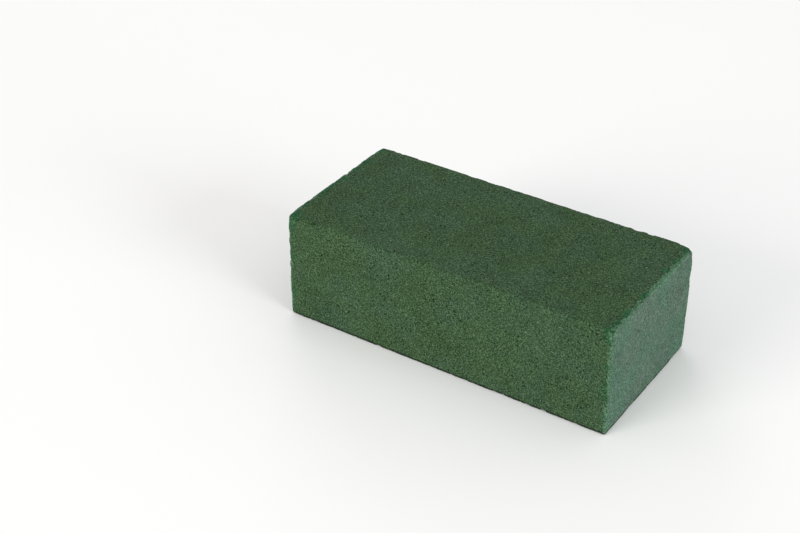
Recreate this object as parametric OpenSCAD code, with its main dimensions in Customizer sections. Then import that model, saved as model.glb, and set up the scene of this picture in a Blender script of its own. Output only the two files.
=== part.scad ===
// Floral foam brick: one block of open-cell phenolic foam, cut from a larger bun, lying on a large face.
// The arrises are softly rounded by handling and carry small chips, and crumbs of foam still cling in the chips.
// X runs along the length, Y across the width and Z up. The origin is the middle of the face that it lies on.

/* [Block] */
// Length of the block
block_length = 230; // [150:1:300]
// Width of the block, across its two large faces
block_width = 107; // [90:1:140]
// Height of the block as it lies on a large face
block_height = 75; // [60:1:85]

/* [Worn edges] */
// Radius that cutting and handling leave on every edge and corner
edge_radius = 0.8; // [0.5:0.1:2]

/* [Chips] */
// Radius of the round bite that makes the largest chip
chip_radius = 3.2; // [2.4:0.1:5]
// Depth of the largest chip, from the sharp corner line in towards the middle of the block
chip_depth = 1.8; // [1.4:0.1:2.4]

/* [Crumbs] */
// Size across of the crumb in the largest chip
crumb_size = 0.9; // [0.5:0.1:1.1]

/* [Hidden] */

FOAM_GREEN = [0.27, 0.37, 0.26];
CRUMB_GREEN = [0.36, 0.47, 0.37];
$fn = 48;

HALF_SIZE = [block_length / 2, block_width / 2, block_height / 2];

// A crumb is a small block, with these shares of its size as its sides
CRUMB_SIDES = [1, 0.8, 0.7];
// The corners of a crumb are rounded off by a ball this many times its size
CRUMB_ROUNDING = 1.25;
// How far a crumb is sunk into the floor of its chip, as a share of its size
CRUMB_SINK = 0.12;
// How much further each crumb is turned than the one before it, in degrees
CRUMB_TURN = 37;

// Every chip: the edge that it sits on, where it sits along that edge, and its size.
// The edge is named by the sides of the block that meet there, with 0 for the direction that it runs in.
// The place is a share of half the edge, from -1 at one end to 1 at the other, and the size is a share of the
// largest chip.
CHIPS = [
    [[0, 1, 1], 0.93, 0.8],
    [[0, 1, 1], 0.75, 1.0],
    [[0, 1, 1], 0.43, 0.6],
    [[0, 1, 1], -0.22, 0.7],
    [[0, 1, 1], -0.85, 0.9],
    [[0, -1, 1], 0.62, 0.6],
    [[0, -1, 1], -0.35, 0.8],
    [[0, -1, 1], -0.9, 0.6],
    [[0, -1, -1], 0.64, 0.8],
    [[0, -1, -1], 0.54, 0.6],
    [[0, -1, -1], -0.4, 0.7],
    [[0, 1, -1], 0.3, 0.8],
    [[0, 1, -1], -0.6, 0.6],
    [[1, 0, 1], 0.55, 0.6],
    [[1, 0, 1], -0.3, 0.7],
    [[-1, 0, 1], 0.2, 0.9],
    [[-1, 0, 1], -0.7, 0.6],
    [[1, 0, -1], 0.4, 0.6],
    [[-1, 0, -1], -0.15, 0.7],
    [[1, -1, 0], 0.5, 0.6],
    [[1, -1, 0], -0.25, 0.7],
    [[-1, -1, 0], 0.1, 0.6],
    [[1, 1, 0], -0.4, 0.6],
    [[-1, 1, 0], 0.35, 0.7],
];

// The middle of the block
BLOCK_MIDDLE = [0, 0, HALF_SIZE.z];

function times(a, b) = [a.x * b.x, a.y * b.y, a.z * b.z];

// The direction along an edge, from the sides that meet there
function along(sides) = [for (side = sides) side == 0 ? 1 : 0];

// The point on the sharp corner line where a chip sits
function chip_place(chip) = BLOCK_MIDDLE + times(chip[0] + along(chip[0]) * chip[1], HALF_SIZE);

// The direction straight out of the block at an edge
function outward(chip) = chip[0] / norm(chip[0]);

// A rectangle with round corners, centred on the origin
module round_rectangle(size_x, size_y, radius) {
    square([size_x - 2 * radius, size_y], center = true);
    square([size_x, size_y - 2 * radius], center = true);
    for (x = [-1, 1], y = [-1, 1])
        translate([x * (size_x / 2 - radius), y * (size_y / 2 - radius)])
            circle(r = radius);
}

// The whole block with every arris rounded: what is common to three rounded bars that cross at right angles
module rounded_block() {
    translate(BLOCK_MIDDLE)
        intersection() {
            linear_extrude(height = block_height, center = true)
                round_rectangle(block_length, block_width, edge_radius);
            rotate([90, 0, 0])
                linear_extrude(height = block_width, center = true)
                    round_rectangle(block_length, block_height, edge_radius);
            rotate([90, 0, 90])
                linear_extrude(height = block_length, center = true)
                    round_rectangle(block_width, block_height, edge_radius);
        }
}

// The round bite that takes one chip out of an edge
module chip_bite(chip) {
    radius = chip_radius * chip[2];
    depth = chip_depth * chip[2];
    translate(chip_place(chip) + outward(chip) * (radius - depth))
        sphere(r = radius);
}

// One grain of foam, turned a different way for each chip
module crumb(size, turn) {
    rotate([turn, 2 * turn, 3 * turn])
        intersection() {
            cube(size * CRUMB_SIDES, center = true);
            sphere(d = size * CRUMB_ROUNDING, $fn = 32);
        }
}

// The grain that lies on the floor of one chip
module chip_crumb(chip, turn) {
    size = crumb_size * chip[2];
    floor_depth = chip_depth * chip[2];
    translate(chip_place(chip) - outward(chip) * (floor_depth - size * (0.5 - CRUMB_SINK)))
        crumb(size, turn);
}

module foam_brick() {
    color(FOAM_GREEN)
        difference() {
            rounded_block();
            for (chip = CHIPS)
                chip_bite(chip);
        }
}

module loose_crumbs() {
    color(CRUMB_GREEN)
        for (i = [0 : len(CHIPS) - 1])
            chip_crumb(CHIPS[i], CRUMB_TURN * i);
}

foam_brick();
loose_crumbs();
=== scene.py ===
"""The looks of the floral foam brick: a worn block of open-cell foam and the crumbs in its chipped edges."""

import itertools
from math import radians
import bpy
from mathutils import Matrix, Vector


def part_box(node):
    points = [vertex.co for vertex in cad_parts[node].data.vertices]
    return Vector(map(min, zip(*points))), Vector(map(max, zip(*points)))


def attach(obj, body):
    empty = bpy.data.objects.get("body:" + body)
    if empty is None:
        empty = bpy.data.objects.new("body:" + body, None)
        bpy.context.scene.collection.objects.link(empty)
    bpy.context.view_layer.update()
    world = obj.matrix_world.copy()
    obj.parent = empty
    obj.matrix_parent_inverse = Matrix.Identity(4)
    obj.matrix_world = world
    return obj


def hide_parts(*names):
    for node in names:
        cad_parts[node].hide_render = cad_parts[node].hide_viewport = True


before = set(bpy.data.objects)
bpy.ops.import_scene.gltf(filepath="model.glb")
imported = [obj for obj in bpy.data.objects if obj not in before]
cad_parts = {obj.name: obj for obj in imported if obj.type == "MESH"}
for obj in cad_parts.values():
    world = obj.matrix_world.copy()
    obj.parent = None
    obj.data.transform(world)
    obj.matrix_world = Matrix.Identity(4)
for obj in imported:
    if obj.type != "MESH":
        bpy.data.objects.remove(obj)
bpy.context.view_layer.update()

from types import SimpleNamespace

import bmesh
import bpy
import numpy as np
from mathutils import Vector, noise
from mathutils.bvhtree import BVHTree

MM = 0.001

LOW, HIGH = (np.array(corner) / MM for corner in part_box("foam_brick"))
MIDDLE = (LOW + HIGH) / 2
HALF = (HIGH - LOW) / 2

# Shapes and patterns below are in millimetres, and shapes are turned into metres when a mesh is made.

# The block's surface grid is fine in a border along every arris and wider elsewhere
BORDER = 3.6
BORDER_STEP = 0.3
GRID_STEP = 0.7
MOST_TRIANGLES = 190000
SHARP_ANGLE = 38

# How wide the zone along each arris is in which the grid's points fan out in rays from a core in the block
EDGE_ZONE = 10.0
# A ray leaves the rounded block between these two distances from the core, and halving finds where
SHORTEST_REACH = 0.9 * EDGE_ZONE
LONGEST_REACH = 1.8 * EDGE_ZONE
HALVINGS = 24

# Radius of the worn arrises, and how much it varies
ARRIS_RADIUS = 0.5
ARRIS_RADIUS_SPREAD = 0.3
END_ARRIS_EXTRA = 0.2

# How much rounder handling has worn some arrises and every corner, named by the sides that meet there
WEAR = {
    (0, 1, 1): 0.9,
    (0, -1, 1): 1.4,
    (1, 1, 1): 2.8,
    (1, -1, 1): 1.0,
    (-1, 1, 1): 0.9,
    (-1, -1, 1): 0.6,
    (1, 1, -1): 1.2,
    (1, -1, -1): 0.5,
    (-1, 1, -1): 2.2,
    (-1, -1, -1): 0.9,
}

# Wear along an arris fades with this power of the nearness to it
NEARNESS_POWER = 6
# How deep the arrises are worn ragged everywhere
RAGGED_DEPTH = 0.09
# How deep they have crumbled at the worst places, at the bottom and at the top of the block
CRUMBLE_DEPTHS = (0.8, 1.8)
# Only noise above this value crumbles
CRUMBLE_FROM = 0.05

# Unevenness of every face: its wavelength, depth and seed
WAVES = [
    (55, 0.08, 31),
    (17, 0.04, 32),
    (3, 0.03, 33),
]

# The underside curves up a little towards its rim, which leaves a thin dark gap above the floor
RIM_LIFT = 0.5
RIM_WIDTH = 14.0

# The pairs of numbers for chips, pits and grains are ranges that random sizes are drawn from.

# A chip is the bite of a ball that is stretched along the arris.
# The larger chips sit where the CAD crumbs lie, a little deeper, and their radius follows their depth.
LARGE_CHIP_DEEPER = 1.1
LARGE_CHIP_RADIUS_PER_DEPTH = 1.6
LARGE_CHIP_STRETCH = (0.9, 1.4)
# The smaller chips are scattered along every arris
SMALL_CHIPS_PER_METRE = 150
SMALL_CHIP_DEPTH = (0.35, 0.75)
SMALL_CHIP_RADIUS = (0.6, 1.5)
SMALL_CHIP_STRETCH = (1.0, 1.8)
# How much a chip's radius varies round its rim, as a share of it
CHIP_RAGGEDNESS = 0.12

# Bubbles that the cut opened, over the whole surface, with their depth as a share of their radius
PITS_PER_SQUARE_METRE = 5000
PIT_RADIUS = (0.6, 1.3)
PIT_DEPTH = (0.4, 0.8)

# Points of the CAD crumbs that are closer than this are one point
MERGE_DISTANCE = 0.001

# The grain in each large chip, and the smaller ones beside it, as shares of how deep that chip is
GRAIN_SIZE = 0.62
SMALL_GRAINS = 3
SMALL_GRAIN_SIZE = (0.2, 0.4)
SMALL_GRAIN_AWAY = (-1.6, 1.6)
SMALL_GRAIN_OUTWARD = 0.1
# How far the middle of a grain is above the surface that it clings to, as a share of its size
GRAIN_RISE = 0.12
# How much a grain is squashed along each axis
GRAIN_SQUASH = (0.65, 1.0)
# The lumps on a grain: how fine and how high they are
GRAIN_LUMPS = [(3, 0.28), (9, 0.12)]
# Each grain takes its lumps from its own place in the noise, within this range
NOISE_PLACE = (-50, 50)


# ---------- noise ----------

def lattice_noise(points, wavelength, seed):
    """Smooth noise from -1 to 1 at each point: a lattice of random numbers, one wavelength apart."""
    scaled = points / wavelength
    whole = np.floor(scaled)
    cell = (whole - whole.min(axis=0)).astype(int)
    blend = scaled - whole
    blend = blend * blend * (3 - 2 * blend)
    lattice = np.random.default_rng(seed).uniform(-1, 1, cell.max(axis=0) + 2)
    total = np.zeros(len(points))
    for corner in itertools.product((0, 1), repeat=3):
        weight = np.where(corner, blend, 1 - blend).prod(axis=1)
        i, j, k = (cell + corner).T
        total += weight * lattice[i, j, k]
    return total


def rough_noise(points, wavelength, octaves, seed):
    """Several layers of noise, each half as long and half as strong as the one before."""
    total = sum(
        lattice_noise(points, wavelength / 2**n, seed + n) / 2**n for n in range(octaves)
    )
    return total / (2 - 0.5 ** (octaves - 1))


# ---------- the grid round the block ----------

def grid_lines(half):
    """Where the grid lines cross one axis: close together in the borders at both ends, wider between them."""
    inner = half - BORDER
    border = np.linspace(inner, half, round(BORDER / BORDER_STEP) + 1)[1:]
    middle = np.linspace(-inner, inner, round(2 * inner / GRID_STEP) + 1)
    return np.concatenate([-border[::-1], middle, border])


def shell_grid():
    """The points and quads of a closed box surface, cut along the grid lines."""
    lines = [grid_lines(half) for half in HALF]
    counts = np.array([len(line) - 1 for line in lines])
    quads = []
    for axis in range(3):
        across, up = (axis + 1) % 3, (axis + 2) % 3
        i, j = np.meshgrid(np.arange(counts[across]), np.arange(counts[up]), indexing="ij")
        corners = [(i, j), (i + 1, j), (i + 1, j + 1), (i, j + 1)]
        for side in (0, counts[axis]):
            face = np.zeros((4, i.size, 3), int)
            face[:, :, axis] = side
            for corner, (a, b) in enumerate(corners if side else corners[::-1]):
                face[corner, :, across] = a.ravel()
                face[corner, :, up] = b.ravel()
            quads.append(face)
    quads = np.concatenate(quads, axis=1)
    keys = np.ravel_multi_index(np.moveaxis(quads, 2, 0), counts + 1)
    used, index = np.unique(keys, return_inverse=True)
    places = np.unravel_index(used, counts + 1)
    points = np.stack([line[place] for line, place in zip(lines, places)], axis=1)
    return points, index.reshape(keys.shape).T


def worn_radius(grid, spread):
    """The radius of the nearest arris or corner at each point of the grid."""
    uneven = rough_noise(grid, wavelength=16, octaves=3, seed=22)
    radius = ARRIS_RADIUS + ARRIS_RADIUS_SPREAD * uneven
    radius += END_ARRIS_EXTRA * np.abs(spread[:, 0]) / EDGE_ZONE
    for sides, wear in WEAR.items():
        meeting = np.flatnonzero(sides)
        towards = (spread * sides)[:, meeting].min(axis=1) / EDGE_ZONE
        radius += wear * np.maximum(towards, 0)
    return radius


def rounded_reach(direction, radius):
    """How far each ray goes from the core until it leaves a block whose arrises have the given radius."""
    near = np.full(len(direction), SHORTEST_REACH)
    far = np.full(len(direction), LONGEST_REACH)
    flat = (EDGE_ZONE - radius)[:, None]
    for _ in range(HALVINGS):
        reach = (near + far) / 2
        past = np.maximum(np.abs(direction) * reach[:, None] - flat, 0)
        outside = np.linalg.norm(past, axis=1) > radius
        far = np.where(outside, reach, far)
        near = np.where(outside, near, reach)
    return near


# ---------- chips and pits ----------

def crumb_places():
    """The middle of each CAD crumb, from the middle of the block, in an order that stays the same."""
    mesh = bmesh.new()
    mesh.from_mesh(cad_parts["loose_crumbs"].data)
    bmesh.ops.remove_doubles(mesh, verts=mesh.verts, dist=MERGE_DISTANCE * MM)
    waiting = set(mesh.verts)
    places = []
    while waiting:
        island = [waiting.pop()]
        for vert in island:
            joined = {edge.other_vert(vert) for edge in vert.link_edges} & waiting
            waiting -= joined
            island.extend(joined)
        places.append(np.mean([vert.co for vert in island], axis=0) / MM - MIDDLE)
    mesh.free()
    return sorted(places, key=lambda place: tuple(place.round(1)))


def arris_point(place):
    """The nearest point on a sharp corner line of the block, and the outward direction there."""
    gap = HALF - np.abs(place)
    sides = np.where(gap < np.sort(gap)[2], np.sign(place), 0)
    return np.where(sides == 0, place, sides * HALF), sides / np.linalg.norm(sides)


def large_chips():
    """A bite for each CAD crumb, which lies on its floor: centre, radius and stretch along the arris."""
    chips = []
    random = np.random.default_rng(seed=11)
    for place in crumb_places():
        corner, out = arris_point(place)
        depth = np.linalg.norm(corner - place) * LARGE_CHIP_DEEPER
        radius = LARGE_CHIP_RADIUS_PER_DEPTH * depth
        stretch = np.where(out == 0, random.uniform(*LARGE_CHIP_STRETCH), 1)
        chips.append((corner + out * (radius - depth), radius, stretch))
    return chips


def small_chips():
    """Many shallow bites scattered along the twelve arrises."""
    random = np.random.default_rng(seed=12)
    chips = []
    for axis in range(3):
        for a, b in itertools.product((-1, 1), repeat=2):
            sides = np.insert([a, b], axis, 0)
            out = sides / np.linalg.norm(sides)
            for _ in range(int(2 * HALF[axis] * SMALL_CHIPS_PER_METRE * MM)):
                place = np.where(sides == 0, random.uniform(-1, 1), sides) * HALF
                depth = random.uniform(*SMALL_CHIP_DEPTH)
                radius = random.uniform(*SMALL_CHIP_RADIUS)
                stretch = np.where(sides == 0, random.uniform(*SMALL_CHIP_STRETCH), 1)
                chips.append((place + out * (radius - depth), radius, stretch))
    return chips


def bite(reach, core, direction, chip, ragged):
    """Shortens the rays' reach to where they enter a chip's ball: it solves |start + step * reach| = size."""
    centre, radius, stretch = chip
    near = np.flatnonzero((np.abs(core - centre) < EDGE_ZONE + radius * stretch).all(axis=1))
    start = (core[near] - centre) / stretch
    step = direction[near] / stretch
    size = radius * (1 + CHIP_RAGGEDNESS * ragged[near])
    a = (step**2).sum(axis=1)
    b = (start * step).sum(axis=1)
    c = (start**2).sum(axis=1) - size**2
    inside = b * b - a * c
    enter = (-b - np.sqrt(np.maximum(inside, 0))) / a
    hit = (inside > 0) & (enter > 0)
    reach[near[hit]] = np.minimum(reach[near[hit]], enter[hit])


def open_pits(reach, grid):
    """Sinks round bubbles that the saw opened, scattered over all six faces."""
    random = np.random.default_rng(seed=13)
    for axis in range(3):
        half_face = np.delete(HALF, axis)
        area = (2 * half_face).prod() * MM**2
        for side in (-1, 1):
            on_face = np.flatnonzero(grid[:, axis] == side * HALF[axis])
            flat = np.delete(grid[on_face], axis, axis=1)
            for _ in range(int(area * PITS_PER_SQUARE_METRE)):
                away = np.linalg.norm(flat - random.uniform(-half_face, half_face), axis=1)
                radius = random.uniform(*PIT_RADIUS)
                depth = radius * random.uniform(*PIT_DEPTH)
                bowl = depth * np.sqrt(np.maximum(1 - (away / radius) ** 2, 0))
                reach[on_face] -= bowl


# ---------- the block ----------

def arris_wear(grid, spread, ragged):
    """How deep the arrises are worn ragged and crumbled at each point of the grid."""
    nearness = np.sort(np.abs(spread), axis=1)[:, 1] / EDGE_ZONE
    crumbled = np.maximum(rough_noise(grid, wavelength=6, octaves=3, seed=27) - CRUMBLE_FROM, 0)
    crumble_depth = np.interp(grid[:, 2], (-HALF[2], HALF[2]), CRUMBLE_DEPTHS)
    return nearness**NEARNESS_POWER * (RAGGED_DEPTH * (1 + ragged) + crumble_depth * crumbled)


def underside_height(points):
    """How low the underside is at each point: on the floor, and lifted a little towards its rim."""
    from_rim = (HALF - np.abs(points))[:, :2].min(axis=1)
    return RIM_LIFT * np.clip(1 - from_rim / RIM_WIDTH, 0, 1) ** 2 - HALF[2]


def block_shape():
    """Points and quads of the whole worn block, round the middle of the block."""
    grid, quads = shell_grid()
    core = np.clip(grid, EDGE_ZONE - HALF, HALF - EDGE_ZONE)
    spread = grid - core
    direction = spread / np.linalg.norm(spread, axis=1)[:, None]
    ragged = rough_noise(grid, wavelength=1.2, octaves=2, seed=21)
    reach = rounded_reach(direction, worn_radius(grid, spread))
    for chip in large_chips() + small_chips():
        bite(reach, core, direction, chip, ragged)
    open_pits(reach, grid)
    for wavelength, depth, seed in WAVES:
        reach -= depth * lattice_noise(grid, wavelength, seed)
    reach -= arris_wear(grid, spread, ragged)
    points = core + direction * reach[:, None]
    points[:, 2] = np.maximum(points[:, 2], underside_height(points))
    return points, quads


def apply_modifiers(piece):
    """Turns what the modifiers of a piece make of it into its mesh."""
    seen = piece.evaluated_get(bpy.context.evaluated_depsgraph_get())
    made = bpy.data.meshes.new_from_object(seen)
    piece.modifiers.clear()
    piece.data = made


def foam_brick():
    points, quads = block_shape()
    mesh = bpy.data.meshes.new("foam_brick_worn")
    mesh.from_pydata((points + MIDDLE) * MM, [], quads.tolist())
    mesh.shade_smooth()
    piece = bpy.data.objects.new("foam_brick_worn", mesh)
    bpy.context.scene.collection.objects.link(piece)
    thin = piece.modifiers.new("thin", "DECIMATE")
    thin.ratio = MOST_TRIANGLES / (2 * len(quads))
    apply_modifiers(piece)
    piece.data.set_sharp_from_angle(angle=radians(SHARP_ANGLE))
    return piece


# ---------- the crumbs ----------

def add_grain(mesh, surface, place, size, seed):
    """One broken grain of foam near a place: a ball knocked into a lump, sunk a little into the surface."""
    made = bmesh.ops.create_icosphere(mesh, subdivisions=3, radius=0.5)
    random = np.random.default_rng(seed)
    squash = Vector(random.uniform(*GRAIN_SQUASH, 3))
    shift = Vector(random.uniform(*NOISE_PLACE, 3))
    seat, outward = surface.find_nearest(Vector(place + MIDDLE) * MM)[:2]
    centre = seat / MM + outward * GRAIN_RISE * size
    for vert in made["verts"]:
        lump = 1 + sum(height * noise.noise(vert.co * fine + shift) for fine, height in GRAIN_LUMPS)
        vert.co = (vert.co * squash * lump * size + centre) * MM


def loose_crumbs(brick):
    """The grain that lies in each large chip of the brick, with a few smaller ones beside it."""
    surface = BVHTree.FromObject(brick, bpy.context.evaluated_depsgraph_get())
    mesh = bmesh.new()
    random = np.random.default_rng(seed=41)
    for number, place in enumerate(crumb_places()):
        corner, out = arris_point(place)
        run = (out == 0).astype(float)
        depth = np.linalg.norm(corner - place)
        add_grain(mesh, surface, place, GRAIN_SIZE * depth, number)
        for beside in range(SMALL_GRAINS):
            away = run * random.uniform(*SMALL_GRAIN_AWAY) * depth
            small_place = place + away + out * SMALL_GRAIN_OUTWARD * depth
            small_size = random.uniform(*SMALL_GRAIN_SIZE) * depth
            add_grain(mesh, surface, small_place, small_size, 100 * number + beside)
    data = bpy.data.meshes.new("edge_crumbs")
    mesh.to_mesh(data)
    mesh.free()
    data.shade_smooth()
    piece = bpy.data.objects.new("edge_crumbs", data)
    bpy.context.scene.collection.objects.link(piece)
    return piece


# ---------- shader nodes ----------

# Where a Mix node that mixes colours has its share, its two colours and its result
MIX_INPUTS = (0, 6, 7)
MIX_OUTPUT = 2


class Shader:
    """One material's nodes, added by short calls so that a formula reads as a formula."""

    def __init__(self, name):
        self.material = bpy.data.materials.new(name)
        self.material.use_nodes = True
        self.nodes = self.material.node_tree.nodes
        self.links = self.material.node_tree.links
        self.surface = self.nodes["Principled BSDF"]

    def put(self, socket, value):
        """Gives a socket a fixed value, or links it to another node's output."""
        if isinstance(value, bpy.types.NodeSocket):
            self.links.new(value, socket)
        elif socket.type == "RGBA":
            socket.default_value = (*value, 1.0)
        else:
            socket.default_value = value

    def put_surface(self, values):
        """Sets or links the surface's inputs by their names."""
        for name, value in values.items():
            self.put(self.surface.inputs[name], value)

    def node(self, kind, inputs=(), **settings):
        made = self.nodes.new("ShaderNode" + kind)
        for name, value in settings.items():
            setattr(made, name, value)
        for name, value in dict(inputs).items():
            self.put(made.inputs[name], value)
        return made

    def math(self, operation, *values):
        made = self.node("Math", operation=operation)
        for socket, value in zip(made.inputs, values):
            self.put(socket, value)
        return made.outputs[0]

    def vector(self, operation, *values):
        made = self.node("VectorMath", operation=operation)
        for socket, value in zip(made.inputs, values):
            self.put(socket, value)
        return made.outputs[0]

    def fade(self, value, start, end, low=0.0, high=1.0):
        """Goes smoothly from low to high as value goes from start to end."""
        inputs = {"Value": value, "From Min": start, "From Max": end, "To Min": low, "To Max": high}
        return self.node("MapRange", inputs, interpolation_type="SMOOTHSTEP").outputs["Result"]

    def weigh(self, base, *terms):
        """The base plus the terms, each a value and the weight that it is multiplied by."""
        total = base
        for value, weight in terms:
            total = self.math("MULTIPLY_ADD", value, weight, total)
        return total

    def mix(self, share, below, above, blend="MIX"):
        """A colour between two, by share."""
        made = self.node("Mix", data_type="RGBA", blend_type=blend)
        for number, value in zip(MIX_INPUTS, (share, below, above)):
            self.put(made.inputs[number], value)
        return made.outputs[MIX_OUTPUT]

    def ramp(self, level, colours):
        """Goes through the colours in even steps as level goes from 0 to 1."""
        made = self.node("ValToRGB", {"Fac": level})
        elements = made.color_ramp.elements
        while len(elements) < len(colours):
            elements.new(0.5)
        for number, (element, colour) in enumerate(zip(elements, colours)):
            element.position = number / (len(colours) - 1)
            element.color = (*colour, 1.0)
        return made.outputs["Color"]

    def noise(self, place, wavelength, detail, roughness):
        """Smooth noise from 0 to 1, around 0.5."""
        inputs = {"Vector": place, "Scale": 1 / wavelength, "Detail": detail, "Roughness": roughness}
        return self.node("TexNoise", inputs).outputs["Fac"]

    def swing(self, place, wavelength, detail, roughness):
        """The same noise, around 0."""
        return self.math("SUBTRACT", self.noise(place, wavelength, detail, roughness), 0.5)

    def cells(self, place, spacing):
        """Random cells: the distance to the middle of the nearest one, and its own chance from 0 to 1."""
        made = self.node("TexVoronoi", {"Vector": place, "Scale": 1 / spacing})
        chance = self.node("SeparateColor", {"Color": made.outputs["Color"]}).outputs[0]
        return made.outputs["Distance"], chance


# ---------- the foam's material ----------

# Colours as linear red, green and blue: an open cell, near black as painted shade, the cut face, and a wall
# that catches light, as a painted highlight
CUT_FACE = ((0.0, 0.004, 0.0), (0.0325, 0.0705, 0.03), (0.1, 0.17, 0.09))
# The end faces: paler and bluer, partly their own colour and partly painted sheen and cooler light
SAWN_END_AND_SHEEN = ((0.012, 0.027, 0.016), (0.061, 0.106, 0.075), (0.165, 0.235, 0.185))
EMERALD = ((0.001, 0.016, 0.003), (0.016, 0.075, 0.027), (0.065, 0.175, 0.09))
# A paler lip on the ends' arrises: partly crushed foam, partly a painted highlight
CRUSHED_LIP_AND_HIGHLIGHT = ((0.012, 0.045, 0.018), (0.06, 0.138, 0.073), (0.16, 0.27, 0.18))
# Inside chips and pits: broken foam, darkened further as painted shade in the hollows
BROKEN_AND_SHADED = ((0.001, 0.007, 0.001), (0.009, 0.03, 0.012), (0.05, 0.11, 0.06))
# Painted shade in the dark holes
PIT_SHADE = (0.001, 0.006, 0.001)
# A painted contact shadow along the bottom of every side
CONTACT_SHADOW_COLOUR = (0.006, 0.012, 0.007)
SPECK = (0.26, 0.32, 0.24)

# Tints of the large soft patches, as factors on red, green and blue
YELLOW_TINT = (1.02, 1.01, 0.93)
BLUE_TINT = (0.98, 0.98, 1.08)
GREEN_TINT = (0.85, 1.02, 0.93)
PURPLE_TINT = (1.05, 1.0, 1.01)

# The grain is made of cells and larger bubbles. It adds up the distance to a cell's middle, each cell's own
# chance and the distance to a bubble's middle, each with a weight, and the base brings their sum to around 0.
CELL_SPACING = 0.42
BUBBLE_SPACING = 1.15
GRAIN_BASE = -2.14
DISTANCE_WEIGHT = 1.2
CHANCE_WEIGHT = 1.6
BUBBLE_WEIGHT = 1.6

# How strongly the grain goes from the darkest to the palest colour, how much less it does so on the ends, and
# how strongly the slow shades do
GRAIN_CONTRAST = 0.38
LESS_CONTRAST_ON_ENDS = 0.01
SHADE_CONTRAST = 0.25

# Each pair called FADE below says where something has faded out and where it is full.

# The noise that goes from one tint to the other
PATCH_FADE = (0.35, 0.65)

# The specks lie in clusters: a share of the cells has one, and that share is at most `most`
DARK_SPECKS = {"spacing": 2.8, "most": 0.55, "radius": 0.3}
PALE_SPECKS = {"spacing": 3.2, "most": 0.12, "radius": 0.16}
# The pale specks' cells are moved by this much, so that their clusters are in other places
PALE_SPECKS_SHIFT = (31.0, 17.0, 5.0)
CLUSTER_WAVELENGTH_IN_CELLS = 6
CLUSTER_FADE = (0.4, 0.62)
# The share of a speck's radius within which it is full
SPECK_CORE = 0.4
DARK_SPECK_STRENGTH = 0.9
LESS_SPECK_ON_ENDS = 0.6
PALE_SPECK_STRENGTH = 0.7

# The emerald band round each end: its width, how much that varies over long and short distances, and how much
# wider it is at the upper corners. It is weaker on the front and back, and stronger at the upper corners.
BAND_WIDTH = 2.0
BAND_SPREAD = 20.0
BAND_RAGGEDNESS = 9.0
BAND_WIDER_AT_CORNERS = 6.5
BAND_WEAKER_ON_SIDES = 0.5
BAND_STRONGER_AT_CORNERS = 0.4
BAND_FADE = (0.3, -0.3)
# How near a point is to a corner, and how high, to be at an upper corner
CORNER_FADE = (12.0, 3.0)
UPPER_FADE = (-10.0, 10.0)

# The paler lip on the arrises of the ends, partly crushed foam and partly a painted highlight, which is widest
# where the band is narrowest
LIP_WIDTH = 1.7
LIP_SPREAD = -8.0
LIP_RAGGEDNESS = 5.0
LIP_STRENGTH = 0.85
LIP_FADE = (0.3, -0.5)
LIP_END_FADE = (3.4, 2.6)

# How deep a point is to be in a chip or pit, where broken foam and painted shade darken it, and how much the
# grain roughens that border
CHIP_FADE = (0.55, 1.05)
CHIP_GRAIN = 0.1
CHIP_STRENGTH = 0.8

# How high above the floor the painted contact shadow reaches, and how much that varies
CONTACT_SHADOW_FADE = (2.3, 1.5)
CONTACT_SHADOW_RAGGEDNESS = 2.0
CONTACT_SHADOW_STRENGTH = 0.8

# How much the grain roughens the ragged borders between colours
BORDER_GRAIN = 0.08
# How far on either side of an arris one face's colour fades into the next
FACE_BLEND = 0.4

# The strength and depth of the bump on the foam and on the crumbs, and how deep a dark speck is in it
FOAM_BUMP = (0.7, 0.2)
CRUMB_BUMP = (0.5, 0.1)
SPECK_DEPTH = 2.0

CELL_ROUGHNESS = 1.0
WALL_ROUGHNESS = 0.88
SPECULAR = 0.05
SHEEN = {"Sheen Weight": 0.03, "Sheen Roughness": 0.5, "Sheen Tint": (0.75, 0.9, 0.8)}


def place_in_block(shader):
    """Where a shaded point is, in millimetres from the middle of the block."""
    metres = shader.node("TexCoord").outputs["Object"]
    return shader.vector("SUBTRACT", shader.vector("MULTIPLY", metres, (1 / MM,) * 3), tuple(MIDDLE))


def whereabouts(shader):
    """What the pattern depends on at a shaded point: its place and height, how far it is from the nearest
    arris, end and corner, how deep it is in a chip or pit, and, as shares from 0 to 1, whether it is on an end
    and whether it is on the front or back."""
    place = place_in_block(shader)
    beyond = shader.vector("SUBTRACT", shader.vector("ABSOLUTE", place), tuple(HALF))
    x, y, z = shader.node("SeparateXYZ", {"Vector": beyond}).outputs
    larger = shader.math("MAXIMUM", x, y)
    smaller = shader.math("MINIMUM", x, y)
    largest = shader.math("MAXIMUM", larger, z)
    second = shader.math("MAXIMUM", smaller, shader.math("MINIMUM", larger, z))
    end_first = shader.math("SUBTRACT", x, shader.math("MAXIMUM", y, z))
    side_first = shader.math("SUBTRACT", y, z)
    return SimpleNamespace(
        place=place,
        height=shader.node("SeparateXYZ", {"Vector": place}).outputs["Z"],
        from_arris=shader.math("MULTIPLY", second, -1.0),
        from_end=shader.math("MULTIPLY", x, -1.0),
        from_corner=shader.node("VectorMath", {"Vector": beyond}, operation="LENGTH").outputs["Value"],
        depth=shader.math("MULTIPLY", largest, -1.0),
        on_end=shader.fade(end_first, -FACE_BLEND, FACE_BLEND),
        on_side=shader.fade(side_first, -FACE_BLEND, FACE_BLEND),
    )


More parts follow.
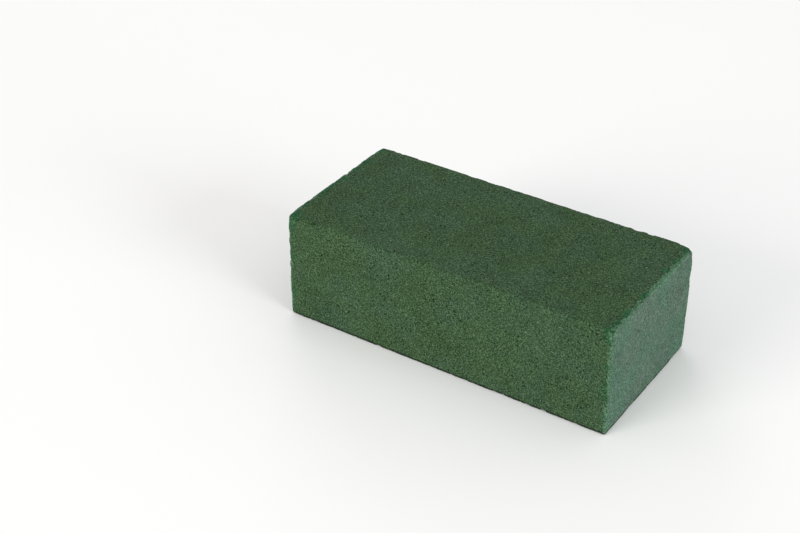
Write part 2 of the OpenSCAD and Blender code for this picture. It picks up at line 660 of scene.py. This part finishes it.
def cell_grain(shader, place):
    """The foam's grain, from about -1 in an open cell to 1 on a wall."""
    distance, chance = shader.cells(place, CELL_SPACING)
    bubble_distance = shader.cells(place, BUBBLE_SPACING)[0]
    return shader.weigh(
        GRAIN_BASE,
        (distance, DISTANCE_WEIGHT),
        (chance, CHANCE_WEIGHT),
        (bubble_distance, BUBBLE_WEIGHT),
    )


def colour_level(shader, spot, grain):
    """How far a point is from the darkest to the palest of its colours, from 0 to 1."""
    contrast = shader.weigh(GRAIN_CONTRAST, (spot.on_end, -LESS_CONTRAST_ON_ENDS))
    shades = shader.swing(spot.place, wavelength=26.0, detail=3.0, roughness=0.55)
    return shader.weigh(0.5, (grain, contrast), (shades, SHADE_CONTRAST))


def cut_faces(shader, spot, level):
    """The colour of the clean faces, with large soft patches of tint, and paler, bluer ends that are partly
    painted sheen.
    """
    patches = shader.noise(spot.place, wavelength=30.0, detail=3.0, roughness=0.6)
    patches = shader.fade(patches, *PATCH_FADE)
    colour = shader.mix(spot.on_end, shader.ramp(level, CUT_FACE), shader.ramp(level, SAWN_END_AND_SHEEN))
    long_tint = shader.mix(patches, YELLOW_TINT, BLUE_TINT)
    end_tint = shader.mix(patches, PURPLE_TINT, GREEN_TINT)
    return shader.mix(1.0, colour, shader.mix(spot.on_end, long_tint, end_tint), "MULTIPLY")


def speckle(shader, place, spacing, most, radius):
    """A share from 0 to 1 that is 1 on round specks in clusters."""
    distance, chance = shader.cells(place, spacing)
    clusters = shader.noise(place, CLUSTER_WAVELENGTH_IN_CELLS * spacing, detail=1.0, roughness=0.6)
    chosen = shader.math("LESS_THAN", chance, shader.fade(clusters, *CLUSTER_FADE, high=most))
    return shader.math("MULTIPLY", chosen, shader.fade(distance, radius, SPECK_CORE * radius))


def specks(shader, spot, dark_specks, colour):
    """The colour with dark holes of painted shade, which are weaker on the ends, and pale specks of dust."""
    dark_strength = shader.weigh(DARK_SPECK_STRENGTH, (spot.on_end, -LESS_SPECK_ON_ENDS))
    colour = shader.mix(shader.math("MULTIPLY", dark_specks, dark_strength), colour, PIT_SHADE)
    pale_specks = speckle(shader, shader.vector("ADD", spot.place, PALE_SPECKS_SHIFT), **PALE_SPECKS)
    return shader.mix(shader.math("MULTIPLY", pale_specks, PALE_SPECK_STRENGTH), colour, SPECK)


def emerald_band(shader, spot, broad, ragged):
    """A share from 0 to 1 that is 1 in the ragged band on the long faces round each end."""
    at_corner = shader.fade(spot.from_corner, *CORNER_FADE)
    at_upper_corner = shader.math("MULTIPLY", at_corner, shader.fade(spot.height, *UPPER_FADE))
    width = shader.weigh(
        BAND_WIDTH,
        (broad, BAND_SPREAD),
        (ragged, BAND_RAGGEDNESS),
        (at_upper_corner, BAND_WIDER_AT_CORNERS),
    )
    strength = shader.weigh(
        1.0,
        (spot.on_side, -BAND_WEAKER_ON_SIDES),
        (at_upper_corner, BAND_STRONGER_AT_CORNERS),
    )
    band = shader.fade(shader.math("SUBTRACT", spot.from_end, width), *BAND_FADE)
    band = shader.math("MULTIPLY", band, strength)
    return shader.math("MULTIPLY", band, shader.math("SUBTRACT", 1.0, spot.on_end))


def crushed_lip_and_highlight(shader, spot, broad, ragged):
    """A share from 0 to 1 that is highest on the arrises of the ends, where the paler lip is partly a painted
    highlight.
    """
    width = shader.weigh(LIP_WIDTH, (broad, LIP_SPREAD), (ragged, LIP_RAGGEDNESS))
    lip = shader.fade(shader.math("SUBTRACT", spot.from_arris, width), *LIP_FADE)
    lip = shader.math("MULTIPLY", lip, shader.fade(spot.from_end, *LIP_END_FADE))
    return shader.math("MULTIPLY", lip, LIP_STRENGTH)


def end_rim(shader, spot, ragged, level, colour):
    """The colour with an emerald band round each end and a paler lip on the arris, partly crushed foam and
    partly a painted highlight.
    """
    broad = shader.swing(spot.place, wavelength=9.0, detail=1.0, roughness=0.6)
    band = emerald_band(shader, spot, broad, ragged)
    colour = shader.mix(band, colour, shader.ramp(level, EMERALD))
    lip = crushed_lip_and_highlight(shader, spot, broad, ragged)
    return shader.mix(lip, colour, shader.ramp(level, CRUSHED_LIP_AND_HIGHLIGHT))


def shaded_broken_chips(shader, spot, grain, level, colour):
    """The colour, darker inside the chips and pits: partly broken foam, partly painted shade in the hollows.
    """
    chipped = shader.fade(shader.weigh(spot.depth, (grain, CHIP_GRAIN)), *CHIP_FADE)
    return shader.mix(shader.math("MULTIPLY", chipped, CHIP_STRENGTH), colour, shader.ramp(level, BROKEN_AND_SHADED))


def painted_contact_shadow(shader, spot, ragged, colour):
    """The colour with a painted contact shadow just above the floor, along the bottom of every side."""
    from_floor = shader.math("ADD", spot.height, HALF[2])
    contact_shadow = shader.fade(shader.weigh(from_floor, (ragged, CONTACT_SHADOW_RAGGEDNESS)), *CONTACT_SHADOW_FADE)
    return shader.mix(shader.math("MULTIPLY", contact_shadow, CONTACT_SHADOW_STRENGTH), colour, CONTACT_SHADOW_COLOUR)


def bumped(shader, height, strength, depth):
    """The way the surface faces, as if it had this height."""
    inputs = {"Height": height, "Strength": strength, "Distance": depth * MM}
    return shader.node("Bump", inputs).outputs["Normal"]


def foam():
    """Cut open-cell foam: cells, bubbles, specks and the marks of sawing and handling, with painted shade,
    sheen, highlight and contact shadow.
    """
    shader = Shader("foam")
    spot = whereabouts(shader)
    grain = cell_grain(shader, spot.place)
    level = colour_level(shader, spot, grain)
    ragged = shader.swing(spot.place, wavelength=2.0, detail=3.0, roughness=0.8)
    ragged = shader.weigh(ragged, (grain, BORDER_GRAIN))
    dark_specks = speckle(shader, spot.place, **DARK_SPECKS)

    colour = cut_faces(shader, spot, level)
    colour = specks(shader, spot, dark_specks, colour)
    # An emerald band, and a paler lip that is partly a painted highlight
    colour = end_rim(shader, spot, ragged, level, colour)
    # Darker in chips and pits, partly as painted shade
    colour = shaded_broken_chips(shader, spot, grain, level, colour)
    # A painted contact shadow just above the floor
    colour = painted_contact_shadow(shader, spot, ragged, colour)

    height = shader.weigh(grain, (dark_specks, -SPECK_DEPTH))
    shader.put_surface({
        "Base Color": colour,
        "Normal": bumped(shader, height, *FOAM_BUMP),
        "Roughness": shader.fade(grain, -1.0, 1.0, CELL_ROUGHNESS, WALL_ROUGHNESS),
        "Specular IOR Level": SPECULAR,
        **SHEEN,
    })
    return shader.material


# ---------- the other materials ----------

CRUSHED_DARK = (0.03, 0.065, 0.035)
CRUSHED_PALE = (0.1, 0.17, 0.1)
# Where the crumbs' noise is dark and where it is pale
CRUSHED_FADE = (0.3, 0.7)
FLOOR_COLOUR = (0.93, 0.93, 0.925)
FLOOR_ROUGHNESS = 0.8


def crushed_foam():
    """Crumbs: the same foam crushed, so paler, with finer grain."""
    shader = Shader("crushed_foam")
    fine = shader.noise(place_in_block(shader), wavelength=0.35, detail=3.0, roughness=0.7)
    shader.put_surface({
        "Base Color": shader.mix(shader.fade(fine, *CRUSHED_FADE), CRUSHED_DARK, CRUSHED_PALE),
        "Normal": bumped(shader, fine, *CRUMB_BUMP),
        "Roughness": shader.fade(fine, *CRUSHED_FADE, CELL_ROUGHNESS, WALL_ROUGHNESS),
        "Specular IOR Level": SPECULAR,
    })
    return shader.material


def pale_floor():
    shader = Shader("pale_floor")
    shader.put_surface({"Base Color": FLOOR_COLOUR, "Roughness": FLOOR_ROUGHNESS})
    return shader.material


# ---------- camera, floor and light, in metres and degrees ----------

# The camera stands off the brick's front right corner and looks down on it
CAMERA_PLACE = (0.4087, -0.7115, 0.5826)
CAMERA_PITCH = 33.12
CAMERA_HEADING = 33.67
CAMERA_LENS = 69.86

FLOOR_SIZE = 50.0
WORLD_STRENGTH = 0.7

# Square soft lights that face the brick: name, place, size, power and colour
LIGHTS = [
    ("front_soft", (-1.8, -4.2, 1.3), 2.55, 144.0, (1.0, 0.96, 0.93)),
    ("right_soft", (4.5, -0.6, 1.2), 2.4, 153.0, (0.95, 0.99, 1.0)),
    ("back_soft", (-3.3, 3.6, 1.4), 2.4, 45.0, (1.0, 1.0, 1.0)),
]


def add_camera():
    data = bpy.data.cameras.new("camera")
    data.lens = CAMERA_LENS
    camera = bpy.data.objects.new("camera", data)
    camera.location = CAMERA_PLACE
    camera.rotation_euler = (radians(90 - CAMERA_PITCH), 0, radians(CAMERA_HEADING))
    bpy.context.scene.collection.objects.link(camera)
    bpy.context.scene.camera = camera


def add_floor():
    data = bpy.data.meshes.new("floor")
    half = FLOOR_SIZE / 2
    corners = [(-half, -half, 0), (half, -half, 0), (half, half, 0), (-half, half, 0)]
    data.from_pydata(corners, [], [(0, 1, 2, 3)])
    floor = bpy.data.objects.new("floor", data)
    bpy.context.scene.collection.objects.link(floor)
    data.materials.append(pale_floor())


def add_light(name, place, size, power, colour):
    data = bpy.data.lights.new(name, "AREA")
    data.shape = "SQUARE"
    data.size = size
    data.energy = power
    data.color = colour
    light = bpy.data.objects.new(name, data)
    light.location = place
    aim = Vector(MIDDLE) * MM - Vector(place)
    light.rotation_euler = aim.to_track_quat("-Z", "Y").to_euler()
    bpy.context.scene.collection.objects.link(light)


def add_world():
    world = bpy.data.worlds.new("studio")
    world.use_nodes = True
    background = world.node_tree.nodes["Background"]
    background.inputs["Color"].default_value = (1.0, 1.0, 1.0, 1.0)
    background.inputs["Strength"].default_value = WORLD_STRENGTH
    bpy.context.scene.world = world


add_camera()
add_floor()
add_world()
for light in LIGHTS:
    add_light(*light)
bpy.context.scene.view_settings.view_transform = "Standard"

brick = foam_brick()
brick.data.materials.append(foam())
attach(brick, "root")
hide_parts("foam_brick")

crumbs = loose_crumbs(brick)
crumbs.data.materials.append(crushed_foam())
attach(crumbs, "root")
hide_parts("loose_crumbs")
